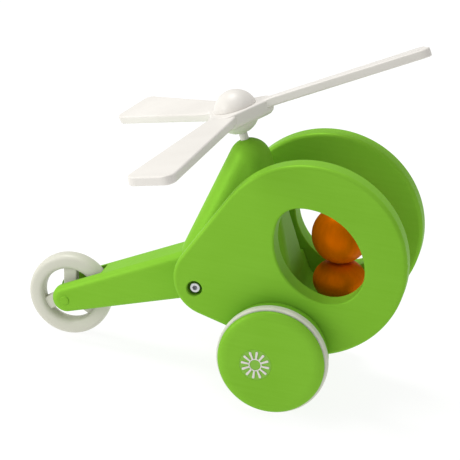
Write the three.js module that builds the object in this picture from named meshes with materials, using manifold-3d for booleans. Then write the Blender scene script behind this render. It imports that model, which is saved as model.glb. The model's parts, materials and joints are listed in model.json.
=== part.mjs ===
// Toy helicopter on two off-centre main wheels and a tail wheel.
// Millimetres. +X is forward, +Z is up, and y = 0 is the toy's middle plane.
// The toy is drawn square to its side plates, with x = 0 at the centre of their big arc, and is then
// pitched by STANCE so that all three wheels stand on the floor, z = 0.
import * as THREE from 'three';
import { ConvexGeometry } from 'three/addons/geometries/ConvexGeometry.js';
import { mergeVertices } from 'three/addons/utils/BufferGeometryUtils.js';
import Module from 'manifold-3d';

const wasm = await Module();
wasm.setup();

// ---------------------------------------------------------------- driving dimensions
const GAP = 0.3;                       // slack left between pieces that fit together

const STANCE = { pitch: 0.904, lift: -0.12 };           // nose-down pitch in degrees, and height

const PLATE = { x: 0, z: 76, r: 48, thick: 11, edge: 2, inner: 20.5 };
const LOBE = { x: -44.4, z: 56, r: 18.8 };              // rear lobe of the side plates
const EGG = {                                          // the window in each side plate
  low: { x: 11, z: 74.1, r: 17.2 }, high: { x: -5.2, z: 90.15, r: 11.8 }, side: 30.3,
};

const BOLT = { x: -51.8, z: 50.4, r: 2.55, bore: 2.85, counterbore: 3.75, sunk: 5, head: 30.2 };
const DOWEL = { r: 3, length: 52, places: [{ x: -34, z: 47 }, { x: 25.5, z: 42.6 }] };

const BODY_HALF = 20.2;                                // half width of the body block
const DOME = { x: -39.3, z: 110.2, r: 10.4 };          // rounded top of the mast
const MAST_REAR = { r: 10, upper: { x: -54.6, z: 61.1 }, lower: { x: -53, z: 53 } };
const MAST_FRONT = { r: 7, upper: { x: -13.6, z: 54.3 }, lower: { x: -11, z: 45 } };
const FLOOR = { z: 48.4, front: 32 };                  // cabin floor

const AXLE = { x: -14.4, z: 25.3, r: 2.5, half: 44.6 };  // main axle
const KEEL = { half: 9.5, corner: 3, shoulder: 3 };    // beam under the body that carries the axle
const BUSH = { r: 3.9, flange: 4.5, bore: 2.8, inner: 12, outer: 31.8 };
const WHEEL = {
  x: -7.7, z: 27.25, r: 26.1, tyre: 27.25, inner: 32, face: 46.8, crown: 2.8, crownRun: 5.4,
};
const GROOVE = { r: 23.4, from: 38.2, to: 43.2 };      // tyre groove, as distances from y = 0
const CAP = { r: 7.8, recess: 1.6 };
const BADGE = { ribs: 12, inner: 2.6, ring: 0.6, outer: 7, width: 1.1, height: 0.4 };

const TAIL = { x: -121.4, z: 19.76, r: 21.5, rim: 7.8, half: 4.5, hub: 5.6, squareness: 3.2 };
const TAIL_AXLE = { r: 2.4, half: 11.9 };
const SPOKE = { count: 3, width: 7, thick: 4.6, first: 95.5 };
const BOOM = { half: 11.4, edge: 4, end: 7.3, slot: 6.2, slotR: 23.2, front: -47 };

const LEAN = 25.05;                                    // rotor axis leans back, degrees
const ROTOR = { x: -49.4, z: 132.45, tip: 97.2, phase: 139.3, blades: 3 };
const BLADE = { root: 14, halfRoot: 6.5, halfTip: 12, thick: 4.4, pitch: 7.7, edge: 0.9, corner: 6 };
const HUB = { r: 12.2, top: 2.1, bottom: -4.9, boss: 4, bossBottom: -7.5, bore: 2.4, edge: 0.8 };
const ARM = { r: 4.2, drop: 2.1, near: { x: 7, y: 5.5 }, far: { x: 13.6, y: 3.8 } };
const SHAFT = { r: 2.1, bore: 2.4, top: 5, bottom: -42, neck: 1.2, neckTop: -33, neckBottom: -36 };
const KEEPER = { r: 1, hole: 1.2, aside: 2.5, inner: -7, outer: 11.4 };  // pin that holds the shaft in
const ROTOR_CAP = { r: 10.8, wall: 1.8 };
const CUP = { r: 11.2, wall: 1.8, mouth: 4.6 };

const PILOT = { x: 14.5, lean: 7.4, headAt: 33.1, headR: 14.2, bodyAt: 9.7, bodyR: 13.2, bodyH: 10.6 };
const PEG = { r: 3, bore: 3.3, bottom: -9, top: 27 };

// ---------------------------------------------------------------- looks
const LOOKS = {
  green: { color: 0x7bb82f, roughness: 0.38, metalness: 0 },
  white: { color: 0xeeeae2, roughness: 0.42, metalness: 0 },
  tyre: { color: 0xd9dccb, roughness: 0.6, metalness: 0 },
  orange: { color: 0xb35c08, roughness: 0.4, metalness: 0 },
  steel: { color: 0xb9bcc0, roughness: 0.3, metalness: 1 },
  wood: { color: 0xd6b583, roughness: 0.7, metalness: 0 },
};

const helicopter = new THREE.Group();
helicopter.name = 'toy_helicopter';
const toy = new THREE.Group();
toy.name = 'stance';
toy.rotation.y = THREE.MathUtils.degToRad(STANCE.pitch);
toy.position.z = STANCE.lift;
helicopter.add(toy);

function add(name, geometry, look, parent = toy) {
  const mesh = new THREE.Mesh(geometry, new THREE.MeshStandardMaterial(LOOKS[look]));
  mesh.name = name;
  parent.add(mesh);
  return mesh;
}

// ---------------------------------------------------------------- booleans
function toManifold(geometry) {
  const bare = geometry.index ? geometry.toNonIndexed() : geometry.clone();
  bare.deleteAttribute('normal');
  bare.deleteAttribute('uv');
  const welded = mergeVertices(bare, 1e-4);
  const mesh = new wasm.Mesh({
    numProp: 3,
    vertProperties: new Float32Array(welded.attributes.position.array),
    triVerts: new Uint32Array(welded.index.array),
  });
  return new wasm.Manifold(mesh);
}

function toGeometry(manifold) {
  const mesh = manifold.getMesh();
  const geometry = new THREE.BufferGeometry();
  const points = new Float32Array(mesh.vertProperties);
  geometry.setAttribute('position', new THREE.BufferAttribute(points, 3));
  geometry.setIndex(new THREE.BufferAttribute(new Uint32Array(mesh.triVerts), 1));
  geometry.computeVertexNormals();
  return geometry;
}

function join(...geometries) {
  return toGeometry(geometries.map(toManifold).reduce((sum, next) => sum.add(next)));
}

function cut(geometry, ...tools) {
  const whole = toManifold(geometry);
  return toGeometry(tools.map(toManifold).reduce((rest, tool) => rest.subtract(tool), whole));
}

// ---------------------------------------------------------------- shape helpers
const v2 = (x, y) => new THREE.Vector2(x, y);
const rad = THREE.MathUtils.degToRad;

// A shape drawn in x and z, made solid from y = from to y = to, with rounded long edges.
function slab(shape, from, to, edge = 0, curveSegments = 24, edgeSteps = 2) {
  const geometry = new THREE.ExtrudeGeometry(shape, {
    depth: to - from - 2 * edge, bevelEnabled: edge > 0, bevelThickness: edge, bevelSize: edge,
    bevelOffset: -edge, bevelSegments: edgeSteps, curveSegments,
  });
  return geometry.rotateX(Math.PI / 2).translate(0, to - edge, 0);
}

// A round solid about the line through (x, z) along y; profile points are (radius, y).
function turnedAlongY(profile, x, z, segments = 32) {
  return new THREE.LatheGeometry(profile, segments).translate(x, 0, z);
}

// A plain cylinder along y.
function rod(r, from, to, x, z, segments = 24) {
  return turnedAlongY([v2(0, from), v2(r, from), v2(r, to), v2(0, to)], x, z, segments);
}

// A round solid about z; profile points are (radius, z).
function turned(profile, segments = 32) {
  return new THREE.LatheGeometry(profile, segments).rotateX(Math.PI / 2);
}

// The mirror image of a solid across y = 0, with its faces turned back outwards.
function mirrored(geometry) {
  const twin = geometry.index ? geometry.toNonIndexed() : geometry.clone();
  twin.scale(1, -1, 1);
  const position = twin.attributes.position;
  for (let i = 0; i < position.count; i += 3) {
    const second = new THREE.Vector3().fromBufferAttribute(position, i + 1);
    const third = new THREE.Vector3().fromBufferAttribute(position, i + 2);
    position.setXYZ(i + 1, ...third);
    position.setXYZ(i + 2, ...second);
  }
  return twin;
}

// Surface points of a ball, for building rounded convex solids.
function ball(x, y, z, r, across = 16, down = 8) {
  const points = [];
  const position = new THREE.SphereGeometry(r, across, down).rotateX(Math.PI / 2).attributes.position;
  for (let i = 0; i < position.count; i += 1) {
    points.push(new THREE.Vector3().fromBufferAttribute(position, i).add(new THREE.Vector3(x, y, z)));
  }
  return points;
}

function balls(places, r, ...density) {
  return places.flatMap(([x, y, z]) => ball(x, y, z, r, ...density));
}

// Points along a circular arc about c, turning anticlockwise from one angle to another.
function arc(c, r, from, to, steps) {
  const sweep = ((to - from) % (2 * Math.PI) + 2 * Math.PI) % (2 * Math.PI);
  return Array.from({ length: steps + 1 }, (_, i) => {
    const angle = from + (sweep * i) / steps;
    return v2(c.x + r * Math.cos(angle), c.z + r * Math.sin(angle));
  });
}

const bearing = (a, b) => Math.atan2(b.z - a.z, b.x - a.x);

// The taut outline around two circles.
function taut(big, small, bigSteps, smallSteps) {
  const along = bearing(small, big);
  const apart = Math.hypot(big.x - small.x, big.z - small.z);
  const turn = Math.PI / 2 + Math.asin((big.r - small.r) / apart);
  return [
    ...arc(big, big.r, along - turn, along + turn, bigSteps),
    ...arc(small, small.r, along + turn, along - turn, smallSteps),
  ];
}

// An egg: a large and a small end joined by two shallow side arcs.
function egg({ low, high, side }) {
  const apart = Math.hypot(high.x - low.x, high.z - low.z);
  const a = side - low.r;
  const b = side - high.r;
  const s = (a * a - b * b + apart * apart) / (2 * apart);
  const w = Math.sqrt(a * a - s * s);
  const axis = bearing(low, high);
  const centre = (sign) => ({
    x: low.x + s * Math.cos(axis) - sign * w * Math.sin(axis),
    z: low.z + s * Math.sin(axis) + sign * w * Math.cos(axis),
  });
  const left = centre(1);
  const right = centre(-1);
  return [
    ...arc(left, side, bearing(left, low), bearing(left, high), 7),
    ...arc(high, high.r, bearing(left, high), bearing(right, high), 11).slice(1),
    ...arc(right, side, bearing(right, high), bearing(right, low), 7).slice(1),
    ...arc(low, low.r, bearing(right, low), bearing(left, low), 17).slice(1, -1),
  ];
}

// ---------------------------------------------------------------- side plates
const plateOutline = new THREE.Shape(taut(PLATE, LOBE, 44, 14));
const plateOuter = PLATE.inner + PLATE.thick;
const boltHole = turnedAlongY([
  v2(0, PLATE.inner - 1), v2(BOLT.bore, PLATE.inner - 1), v2(BOLT.bore, plateOuter - BOLT.sunk),
  v2(BOLT.counterbore, plateOuter - BOLT.sunk), v2(BOLT.counterbore, plateOuter + 1),
  v2(0, plateOuter + 1),
], BOLT.x, BOLT.z, 20);
const dowelHole = ({ x, z }) => rod(
  DOWEL.r + GAP, -DOWEL.length / 2 - GAP, DOWEL.length / 2 + GAP, x, z, 20,
);
const plateWindow = slab(new THREE.Shape(egg(EGG)), PLATE.inner - 1, plateOuter + 1);
const plate = cut(
  slab(plateOutline, PLATE.inner, plateOuter, PLATE.edge, 1, 2),
  plateWindow, boltHole, ...DOWEL.places.map(dowelHole),
);
add('left_side_plate', plate, 'green');
add('right_side_plate', mirrored(plate), 'green');

// ---------------------------------------------------------------- body block
const both = (half, { x, z }) => [[x, -half, z], [x, half, z]];
const mastSide = ({ r, upper, lower }) => balls(
  [...both(BODY_HALF - r, upper), ...both(BODY_HALF - r, lower)], r,
);
const mast = new ConvexGeometry([
  ...ball(DOME.x, 0, DOME.z, DOME.r, 24, 12), ...mastSide(MAST_REAR), ...mastSide(MAST_FRONT),
]);

// The lower body between the plates: floor, rounded nose and an underside that follows the plates.
const belly = { x: PLATE.x, z: PLATE.z, r: PLATE.r - 1.2 };
const noseRise = Math.asin((FLOOR.front - 2) / belly.r);
const lowerBody = new THREE.Shape([
  v2(-50, 41), v2(-34, 37.2),
  ...arc(belly, belly.r, -Math.PI / 2 - 0.2, -Math.PI / 2 + noseRise, 12),
  ...arc({ x: FLOOR.front - 2, z: FLOOR.z - 3 }, 3, -Math.PI / 5, Math.PI / 2, 5),
  ...new THREE.QuadraticBezierCurve(v2(2.5, FLOOR.z), v2(-3.4, FLOOR.z), v2(-6.2, 54.9)).getPoints(6),
  v2(-9.6, 61.5), v2(-50, 61.5),
]);
const keelShoulder = AXLE.z + KEEL.shoulder;
const keelCorner = (side) => ({
  x: AXLE.x + side * (KEEL.half - KEEL.corner), z: AXLE.z - KEEL.half + KEEL.corner,
});
const keel = slab(new THREE.Shape([
  ...arc(keelCorner(-1), KEEL.corner, -Math.PI, -Math.PI / 2, 4),
  ...arc(keelCorner(1), KEEL.corner, -Math.PI / 2, 0, 4),
  v2(AXLE.x + KEEL.half, keelShoulder), v2(3, 36), v2(-30, 40), v2(AXLE.x - KEEL.half, keelShoulder),
]), -BODY_HALF, BODY_HALF, 1);

// ---------------------------------------------------------------- tail boom
const endRound = BOOM.end - BOOM.edge;
const endPlaces = Array.from({ length: 12 }, (_, i) => (i * Math.PI) / 6).flatMap((angle) => both(
  BOOM.half - BOOM.edge,
  { x: TAIL.x + endRound * Math.cos(angle), z: TAIL.z + endRound * Math.sin(angle) },
));
const boomCorners = [{ x: -61, z: 56.2 }, { x: BOOM.front, z: 56.2 }, { x: BOOM.front, z: 43.4 }];
function boomSolid(extra) {
  return new ConvexGeometry(balls(
    [...endPlaces, ...boomCorners.flatMap((corner) => both(BOOM.half - BOOM.edge, corner))],
    BOOM.edge + extra, 12, 8,
  ));
}
const boomEnd = slab(new THREE.Shape([
  v2(BOOM.front, 20), v2(0, 20), v2(0, 90), v2(BOOM.front, 90),
]), -30, 30);
const forkSlot = rod(BOOM.slotR, -BOOM.slot, BOOM.slot, TAIL.x, TAIL.z, 48);
add('tail_boom', cut(
  boomSolid(0), boomEnd, forkSlot,
  rod(TAIL_AXLE.r + 0.25, -20, 20, TAIL.x, TAIL.z, 20), rod(BOLT.bore, -20, 20, BOLT.x, BOLT.z, 20),
), 'green');
const boomHousing = cut(boomSolid(GAP), boomEnd.clone().translate(GAP, 0, 0));

// ---------------------------------------------------------------- rotor frame
const rotorFrame = new THREE.Group();
rotorFrame.name = 'rotor_frame';
rotorFrame.position.set(ROTOR.x, 0, ROTOR.z);
rotorFrame.rotation.y = -rad(LEAN);
toy.add(rotorFrame);
const placedOnRotor = (geometry) => geometry.clone().rotateY(-rad(LEAN)).translate(ROTOR.x, 0, ROTOR.z);

const shaftHole = turned([
  v2(0, SHAFT.bottom - 1), v2(SHAFT.bore, SHAFT.bottom - 1), v2(SHAFT.bore, 0), v2(0, 0),
], 20);
const keeperHeight = (SHAFT.neckTop + SHAFT.neckBottom) / 2;
const keeper = (r, inner, outer) => rod(r, inner, outer, -KEEPER.aside, keeperHeight, 14);

add('body_block', cut(
  join(mast, slab(lowerBody, -BODY_HALF, BODY_HALF, 0.8), keel),
  boomHousing,
  placedOnRotor(shaftHole), placedOnRotor(keeper(KEEPER.hole, KEEPER.inner - GAP, 30)),
  rod(BOLT.bore, -30, 30, BOLT.x, BOLT.z, 20),
  ...DOWEL.places.map(dowelHole),
  rod(BUSH.r + GAP, -30, 30, AXLE.x, AXLE.z, 24),
  turned([v2(0, PEG.bottom - GAP), v2(PEG.bore, PEG.bottom - GAP), v2(PEG.bore, 6), v2(0, 6)], 20)
    .rotateY(-rad(PILOT.lean)).translate(PILOT.x, 0, FLOOR.z),
), 'green');

// ---------------------------------------------------------------- fixings
const socket = (from, to) => new THREE.CylinderGeometry(1.25, 1.25, to - from, 6)
  .translate(BOLT.x, (from + to) / 2, BOLT.z);
add('cross_bolt_sleeve', cut(
  turnedAlongY([
    v2(0, -BOLT.head), v2(BOLT.r - 0.4, -BOLT.head), v2(BOLT.r, -BOLT.head + 0.4),
    v2(BOLT.r, 4), v2(0, 4),
  ], BOLT.x, BOLT.z, 20),
  socket(-BOLT.head - 1, -BOLT.head + 3.5), rod(1.75, -18, 5, BOLT.x, BOLT.z, 16),
), 'steel');
add('cross_bolt', cut(
  turnedAlongY([
    v2(0, -15), v2(1.4, -15), v2(1.4, 4.5), v2(BOLT.r, 4.5),
    v2(BOLT.r, BOLT.head - 0.4), v2(BOLT.r - 0.4, BOLT.head), v2(0, BOLT.head),
  ], BOLT.x, BOLT.z, 20),
  socket(BOLT.head - 3.5, BOLT.head + 1),
), 'steel');
DOWEL.places.forEach(({ x, z }, i) => {
  add(['rear_dowel', 'front_dowel'][i], turnedAlongY([
    v2(0, -DOWEL.length / 2), v2(DOWEL.r - 0.8, -DOWEL.length / 2),
    v2(DOWEL.r, -DOWEL.length / 2 + 0.8), v2(DOWEL.r, DOWEL.length / 2 - 0.8),
    v2(DOWEL.r - 0.8, DOWEL.length / 2), v2(0, DOWEL.length / 2),
  ], x, z, 20), 'wood');
});

// ---------------------------------------------------------------- main axle and wheels
add('main_axle', turnedAlongY([
  v2(0, -AXLE.half), v2(AXLE.r - 0.5, -AXLE.half), v2(AXLE.r, -AXLE.half + 0.5),
  v2(AXLE.r, AXLE.half - 0.5), v2(AXLE.r - 0.5, AXLE.half), v2(0, AXLE.half),
], AXLE.x, AXLE.z, 20), 'steel');

const bush = turnedAlongY([
  v2(BUSH.bore, BUSH.inner), v2(BUSH.r, BUSH.inner), v2(BUSH.r, BODY_HALF + GAP),
  v2(BUSH.flange, BODY_HALF + GAP), v2(BUSH.flange, BUSH.outer), v2(BUSH.bore, BUSH.outer),
  v2(BUSH.bore, BUSH.inner),
], AXLE.x, AXLE.z, 20);

const crown = Array.from({ length: 6 }, (_, i) => v2(
  WHEEL.r - WHEEL.crownRun * (1 - Math.cos((i * Math.PI) / 10)),
  WHEEL.face - WHEEL.crown * (1 - Math.sin((i * Math.PI) / 10)),
));
const wheel = cut(
  turnedAlongY([
    v2(0, WHEEL.inner), v2(WHEEL.r - 1.2, WHEEL.inner), v2(WHEEL.r, WHEEL.inner + 1),
    v2(WHEEL.r, GROOVE.from), v2(GROOVE.r, GROOVE.from), v2(GROOVE.r, GROOVE.to),
    v2(WHEEL.r, GROOVE.to), ...crown, v2(0, WHEEL.face),
  ], WHEEL.x, WHEEL.z, 40),
  rod(AXLE.r + 0.25, WHEEL.inner - 1, WHEEL.face + 1, AXLE.x, AXLE.z, 20),
  rod(CAP.r + GAP, WHEEL.face - CAP.recess, WHEEL.face + 1, AXLE.x, AXLE.z, 32),
);
const tyreMiddle = (GROOVE.from + GROOVE.to) / 2;
const tyreHalf = (GROOVE.to - GROOVE.from) / 2 - 0.15;
const tyre = turnedAlongY([
  v2(GROOVE.r + GAP, tyreMiddle - tyreHalf), v2(WHEEL.tyre - 0.9, tyreMiddle - tyreHalf),
  v2(WHEEL.tyre, tyreMiddle - tyreHalf + 0.8), v2(WHEEL.tyre, tyreMiddle + tyreHalf - 0.8),
  v2(WHEEL.tyre - 0.9, tyreMiddle + tyreHalf), v2(GROOVE.r + GAP, tyreMiddle + tyreHalf),
  v2(GROOVE.r + GAP, tyreMiddle - tyreHalf),
], WHEEL.x, WHEEL.z, 40);

const capBottom = WHEEL.face - CAP.recess + GAP;
const hubCap = turnedAlongY([
  v2(0, capBottom), v2(CAP.r, capBottom), v2(CAP.r, WHEEL.face - 0.3), v2(CAP.r - 0.3, WHEEL.face),
  v2(0, WHEEL.face),
], AXLE.x, AXLE.z, 32);

// The hub badge: plain radial ribs standing on a small ring.
const badgeFrom = WHEEL.face + 0.08;
const badgeTo = badgeFrom + BADGE.height;
const ribs = Array.from({ length: BADGE.ribs }, (_, i) => new THREE.BoxGeometry(
  BADGE.outer - BADGE.inner - BADGE.ring, BADGE.height, BADGE.width,
).translate((BADGE.inner + BADGE.ring + BADGE.outer) / 2, (badgeFrom + badgeTo) / 2, 0)
  .rotateY((i * 2 * Math.PI) / BADGE.ribs));
const badge = join(
  new THREE.LatheGeometry([
    v2(BADGE.inner, badgeFrom), v2(BADGE.inner + 1, badgeFrom), v2(BADGE.inner + 1, badgeTo),
    v2(BADGE.inner, badgeTo), v2(BADGE.inner, badgeFrom),
  ], 24), ...ribs,
).translate(AXLE.x, 0, AXLE.z);

for (const [name, geometry, look] of [
  ['axle_bush', bush, 'white'], ['wheel', wheel, 'green'], ['tyre', tyre, 'tyre'],
  ['hub_cap', hubCap, 'green'], ['hub_badge', badge, 'white'],
]) {
  add(`left_${name}`, geometry, look);
  add(`right_${name}`, mirrored(geometry), look);
}

// ---------------------------------------------------------------- tail wheel
const rimMiddle = TAIL.r - TAIL.rim / 2;
const rim = turnedAlongY(
  Array.from({ length: 11 }, (_, i) => {
    const angle = ((i + 0.5) * Math.PI) / 5;
    const aside = Math.abs(Math.cos(angle)) ** TAIL.squareness;
    const along = Math.abs(Math.sin(angle)) ** TAIL.squareness;
    const fullness = (aside + along) ** (-1 / TAIL.squareness);
    return v2(
      rimMiddle + (TAIL.rim / 2) * fullness * Math.cos(angle),
      TAIL.half * fullness * Math.sin(angle),
    );
  }),
  0, 0, 40,
);
const spokes = Array.from({ length: SPOKE.count }, (_, i) => slab(new THREE.Shape([
  v2(0, -SPOKE.width / 2), v2(rimMiddle, -SPOKE.width / 2),
  v2(rimMiddle, SPOKE.width / 2), v2(0, SPOKE.width / 2),
]), -SPOKE.thick / 2, SPOKE.thick / 2, 0.6).rotateY(-rad(SPOKE.first + (i * 360) / SPOKE.count)));
const hub = rod(TAIL.hub, -BOOM.slot + 1, BOOM.slot - 1, 0, 0, 28);
add('tail_wheel', cut(join(rim, hub, ...spokes), rod(TAIL_AXLE.r + GAP, -20, 20, 0, 0, 20))
  .translate(TAIL.x, 0, TAIL.z), 'white');
add('tail_axle', turnedAlongY([
  v2(0, -TAIL_AXLE.half), v2(TAIL_AXLE.r - 0.5, -TAIL_AXLE.half),
  v2(TAIL_AXLE.r, -TAIL_AXLE.half + 0.4), v2(TAIL_AXLE.r, TAIL_AXLE.half - 0.4),
  v2(TAIL_AXLE.r - 0.5, TAIL_AXLE.half), v2(0, TAIL_AXLE.half),
], TAIL.x, TAIL.z, 20), 'green');

// ---------------------------------------------------------------- rotor
const widening = (BLADE.halfTip - BLADE.halfRoot) / (ROTOR.tip - BLADE.root);
const halfWidth = (x) => BLADE.halfRoot + widening * (x - BLADE.root);
const tipStart = ROTOR.tip - BLADE.corner;
const corner = (sign) => new THREE.QuadraticBezierCurve(
  v2(tipStart, sign * halfWidth(tipStart)), v2(ROTOR.tip, sign * BLADE.halfTip),
  v2(ROTOR.tip, sign * (BLADE.halfTip - BLADE.corner)),
).getPoints(4);
const bladeOutline = new THREE.Shape([
  v2(BLADE.root, -BLADE.halfRoot), ...corner(-1),
  ...corner(1).reverse(), v2(BLADE.root, BLADE.halfRoot),
]);
const bladeShape = new THREE.ExtrudeGeometry(bladeOutline, {
  depth: BLADE.thick - 2 * BLADE.edge, bevelEnabled: true, bevelThickness: BLADE.edge,
  bevelSize: BLADE.edge, bevelOffset: -BLADE.edge, bevelSegments: 2, curveSegments: 1,
}).translate(0, 0, -BLADE.thick / 2 + BLADE.edge).rotateX(-rad(BLADE.pitch));
const armShape = (extra) => new ConvexGeometry([ARM.near, ARM.far].flatMap(({ x, y }) => balls(
  [[x, y, -ARM.drop], [x, -y, -ARM.drop]], ARM.r + extra, 12, 6,
)));
const around = (geometry) => Array.from({ length: ROTOR.blades }, (_, i) => geometry.clone()
  .rotateZ(rad(ROTOR.phase + (i * 360) / ROTOR.blades)));
const hubDisc = turned([
  v2(HUB.bore, HUB.bossBottom), v2(HUB.boss, HUB.bossBottom), v2(HUB.boss, HUB.bottom),
  v2(HUB.r - HUB.edge, HUB.bottom), v2(HUB.r, HUB.bottom + HUB.edge), v2(HUB.r, HUB.top - HUB.edge),
  v2(HUB.r - HUB.edge, HUB.top), v2(HUB.bore, HUB.top), v2(HUB.bore, HUB.bossBottom),
], 32);
add('rotor', join(hubDisc, ...around(armShape(0)), ...around(bladeShape)), 'white', rotorFrame);

const capFloor = HUB.top + GAP;
// Points (radius, z) on a ball between two heights; a point at the top lies exactly on the axis.
const shell = (r, from, to, steps) => arc(
  { x: 0, z: 0 }, r, Math.asin(from / r), Math.asin(to / r), steps,
).map((p) => (p.x < 1e-6 ? v2(0, p.y) : p));
const capInner = ROTOR_CAP.r - ROTOR_CAP.wall;
add('rotor_cap', turned([
  ...shell(capInner, capFloor, capInner, 4).reverse(),
  ...shell(ROTOR_CAP.r, capFloor, ROTOR_CAP.r, 7),
], 28), 'white', rotorFrame);

const cupTop = HUB.bottom - GAP;
const cupOuterEnd = -Math.sqrt(CUP.r ** 2 - CUP.mouth ** 2);
const cupInner = CUP.r - CUP.wall;
const cupInnerEnd = -Math.sqrt(cupInner ** 2 - CUP.mouth ** 2);
const cupProfile = [
  ...shell(CUP.r, cupOuterEnd, cupTop, 5), ...shell(cupInner, cupInnerEnd, cupTop, 3).reverse(),
];
const cup = turned([...cupProfile, cupProfile[0].clone()], 28);
add('rotor_cup', cut(cup, ...around(armShape(GAP))), 'white', rotorFrame);

add('rotor_shaft', turned([
  v2(0, SHAFT.bottom), v2(SHAFT.r - 0.5, SHAFT.bottom), v2(SHAFT.r, SHAFT.bottom + 0.5),
  v2(SHAFT.r, SHAFT.neckBottom), v2(SHAFT.neck, SHAFT.neckBottom), v2(SHAFT.neck, SHAFT.neckTop),
  v2(SHAFT.r, SHAFT.neckTop), v2(SHAFT.r, SHAFT.top - 0.5), v2(SHAFT.r - 0.5, SHAFT.top),
  v2(0, SHAFT.top),
], 20), 'white', rotorFrame);
add('shaft_keeper', keeper(KEEPER.r, KEEPER.inner, KEEPER.outer), 'steel', rotorFrame);

// ---------------------------------------------------------------- pilot
const pilotFrame = new THREE.Group();
pilotFrame.name = 'pilot_frame';
pilotFrame.position.set(PILOT.x, 0, FLOOR.z);
pilotFrame.rotation.y = -rad(PILOT.lean);
toy.add(pilotFrame);

// A bead of half height h about the z axis, cut flat at two heights.
function beadOutline(r, h, at, from, to, steps) {
  const start = Math.asin((from - at) / h);
  const end = Math.asin((to - at) / h);
  return Array.from({ length: steps + 1 }, (_, i) => {
    const angle = start + ((end - start) * i) / steps;
    return v2(r * Math.cos(angle), at + h * Math.sin(angle));
  });
}
const bodyFoot = 1.15;
const bodyTop = 18.8;
const bodyBead = beadOutline(PILOT.bodyR, PILOT.bodyH, PILOT.bodyAt, bodyFoot, bodyTop, 9);
add('pilot_body', turned([
  v2(PEG.bore, bodyFoot), ...bodyBead, v2(PEG.bore, bodyTop), v2(PEG.bore, bodyFoot),
], 28), 'orange', pilotFrame);
// The head ends where its ball meets its own bore.
const headFoot = PILOT.headAt - Math.sqrt(PILOT.headR ** 2 - PEG.bore ** 2);
const headTop = PILOT.headAt + PILOT.headR;
const headBead = beadOutline(PILOT.headR, PILOT.headR, PILOT.headAt, headFoot, headTop, 12);
add('pilot_head', turned([
  v2(0, PEG.top + GAP), v2(PEG.bore, PEG.top + GAP), ...headBead.slice(0, -1), v2(0, headTop),
], 28), 'orange', pilotFrame);
add('pilot_peg', turned([
  v2(0, PEG.bottom), v2(PEG.r - 0.6, PEG.bottom), v2(PEG.r, PEG.bottom + 0.6),
  v2(PEG.r, PEG.top - 0.6), v2(PEG.r - 0.6, PEG.top), v2(0, PEG.top),
], 20), 'wood', pilotFrame);

export default helicopter;
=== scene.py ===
"""Looks of the wooden toy helicopter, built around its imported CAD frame.

The pieces are drawn in millimetres in the CAD's own drawing frame, square to the side plates, and
STANCE then pitches and lifts them into the row's frame, in metres.
"""
import json
import math
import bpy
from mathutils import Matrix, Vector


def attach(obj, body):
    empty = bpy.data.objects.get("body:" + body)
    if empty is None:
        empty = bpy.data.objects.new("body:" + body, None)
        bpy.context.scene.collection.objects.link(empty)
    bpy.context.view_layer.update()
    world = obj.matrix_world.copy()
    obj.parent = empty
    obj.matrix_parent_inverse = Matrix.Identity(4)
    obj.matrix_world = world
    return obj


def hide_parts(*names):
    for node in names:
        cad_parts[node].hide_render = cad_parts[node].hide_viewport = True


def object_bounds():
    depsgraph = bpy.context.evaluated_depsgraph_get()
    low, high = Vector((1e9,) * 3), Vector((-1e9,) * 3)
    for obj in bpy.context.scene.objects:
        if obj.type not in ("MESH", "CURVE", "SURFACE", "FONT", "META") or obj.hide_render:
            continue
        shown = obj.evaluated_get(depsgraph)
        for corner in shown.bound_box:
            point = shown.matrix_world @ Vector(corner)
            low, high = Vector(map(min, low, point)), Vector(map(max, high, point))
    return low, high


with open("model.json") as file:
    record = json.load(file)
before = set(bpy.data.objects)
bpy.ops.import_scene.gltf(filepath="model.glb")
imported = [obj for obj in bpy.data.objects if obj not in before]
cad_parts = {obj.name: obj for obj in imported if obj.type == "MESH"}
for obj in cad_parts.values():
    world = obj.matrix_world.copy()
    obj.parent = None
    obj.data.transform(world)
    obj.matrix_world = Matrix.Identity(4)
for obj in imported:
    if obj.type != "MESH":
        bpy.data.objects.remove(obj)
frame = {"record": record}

from types import SimpleNamespace as Sizes

import bmesh
import bpy
from mathutils import Matrix, Vector
from mathutils.geometry import tessellate_polygon

cad_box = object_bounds()

# ------------------------------------------------------------------ sizes, in millimetres
MM = 0.001
GAP = 0.3                                       # between a cut and the piece that it makes room for
THROUGH = 30                                    # a cut that passes right through reaches this far
PITCH, LIFT = 0.904, -0.12                      # degrees nose down, and up from the floor

PLATE = Sizes(x=0, z=76, r=48, thick=11, edge=2, inner=20.5)
LOBE = Sizes(x=-44.4, z=56, r=18.8)
EGG_LOW = Sizes(x=11, z=74.1, r=17.2)
EGG_HIGH = Sizes(x=-5.2, z=90.15, r=11.8)
EGG_SIDE = 30.3
WINDOW_EDGES = (0.6, 1.1)

BOLT = Sizes(x=-51.8, z=50.4, r=2.55, bore=2.85, counterbore=3.75, sunk=5, head=30.2, lip=0.5,
             edge=0.45, thread=1.4, thread_slack=0.35, socket=2.7, socket_deep=3.5)
DOWEL = Sizes(r=3, half=26, edge=0.8, places=[Sizes(x=-34, z=47), Sizes(x=25.5, z=42.6)])

BODY_HALF, BODY_REAR, BODY_TOP = 20.2, -50, 61.5
BELLY_R = PLATE.r - 1.2
DOME = Sizes(x=-39.3, z=110.2, r=10.4)
MAST_REAR = Sizes(r=10, places=[Sizes(x=-54.6, z=61.1), Sizes(x=-53, z=53)])
MAST_FRONT = Sizes(r=7, places=[Sizes(x=-13.6, z=54.3), Sizes(x=-11, z=45)])
FLOOR = Sizes(z=48.4, front=32, nose_r=3, nose_back=2)

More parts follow.
